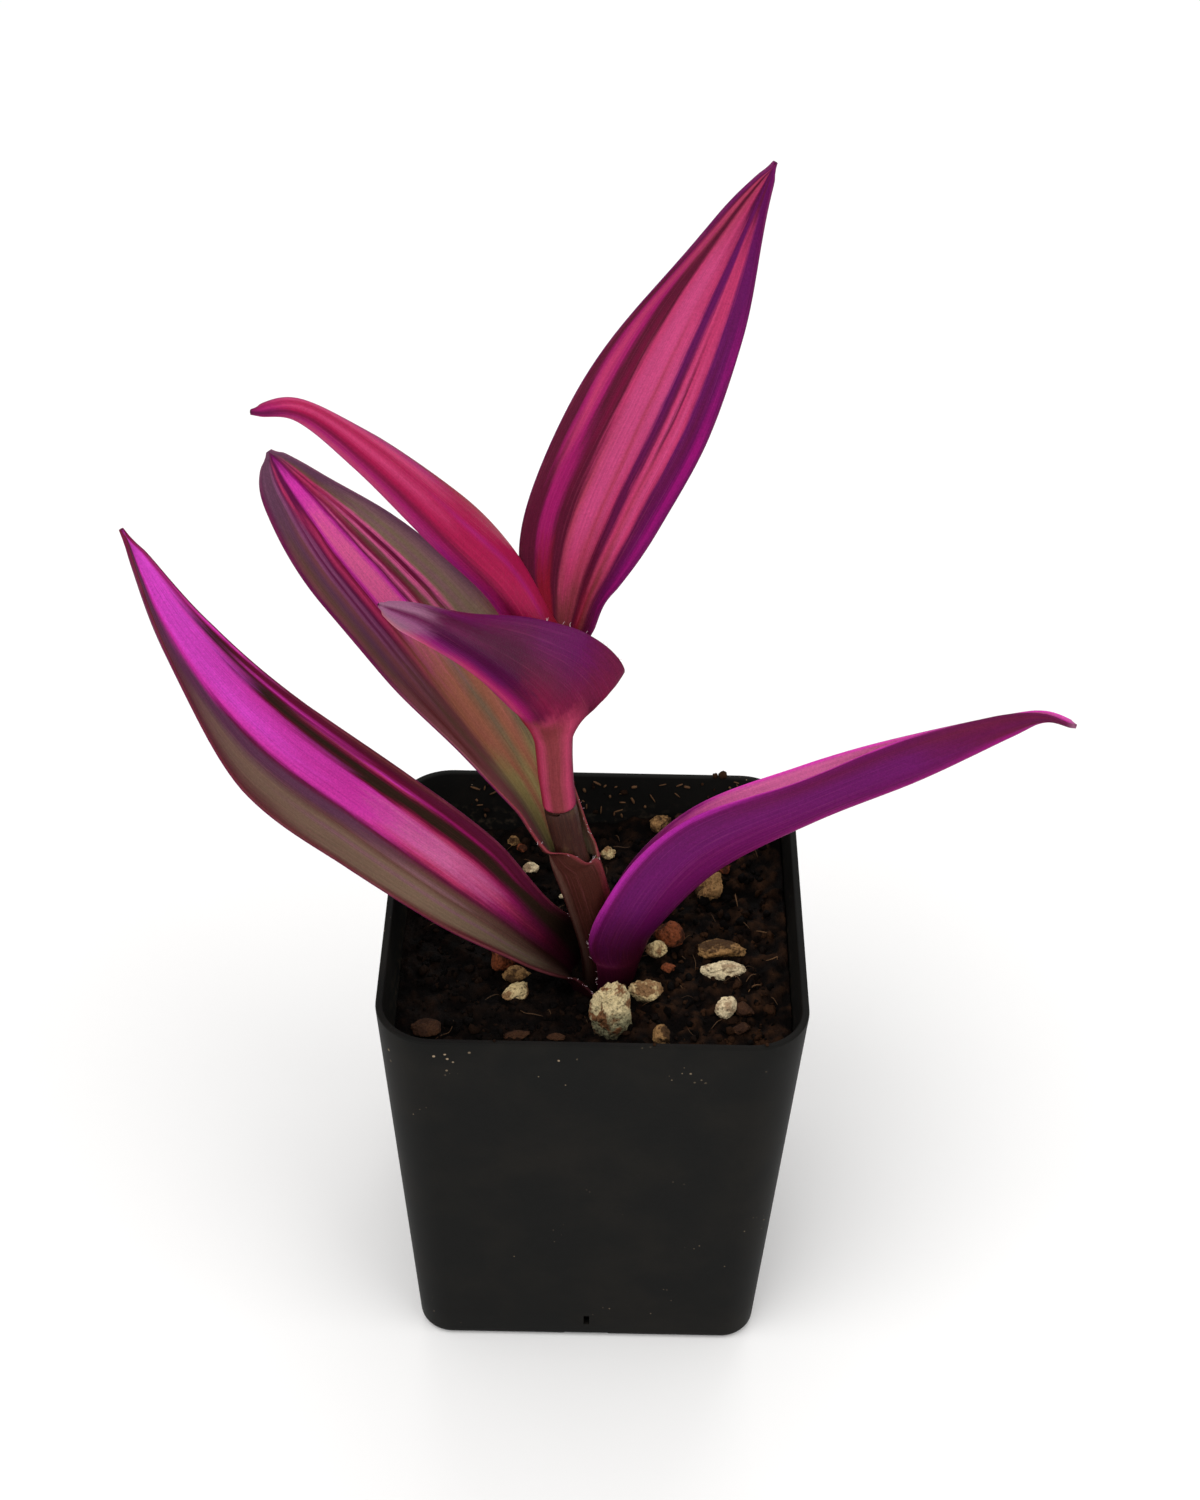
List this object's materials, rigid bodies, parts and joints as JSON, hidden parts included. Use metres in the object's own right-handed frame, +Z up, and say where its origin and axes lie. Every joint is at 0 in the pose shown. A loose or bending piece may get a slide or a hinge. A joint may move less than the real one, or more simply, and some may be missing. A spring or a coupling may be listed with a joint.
{
  "type": "potted tradescantia",
  "caption": "Young purple tradescantia with striped, folded leaves on a short leaning stem, standing in gritty peat potting mix in a square tapered black nursery pot.",
  "frame": {"origin": "middle of the flat underside of the pot, on the surface it stands on", "axes": "+Z up; -Y is the side of the pot that faces the viewer in the picture; +X to that viewer's right"},
  "size_m": [0.135, 0.07, 0.1894],
  "materials": {
    "pot_plastic": "matte moulded plastic, dusty just below the rim",
    "potting_mix": "damp peat with bark, pumice and perlite grains",
    "stem": "smooth, slightly waxy, with fine lengthwise lines",
    "leaf": "soft satin with purple, pink and olive lengthwise stripes"
  },
  "bodies": {
    "root": {"pot": "pot_plastic", "soil": "potting_mix", "stem": "stem", "leaf_low_left": "leaf", "leaf_low_right": "leaf", "leaf_mid_left": "leaf", "leaf_front": "leaf", "leaf_upper_left": "leaf", "leaf_top": "leaf"}
  },
  "joints": []
}
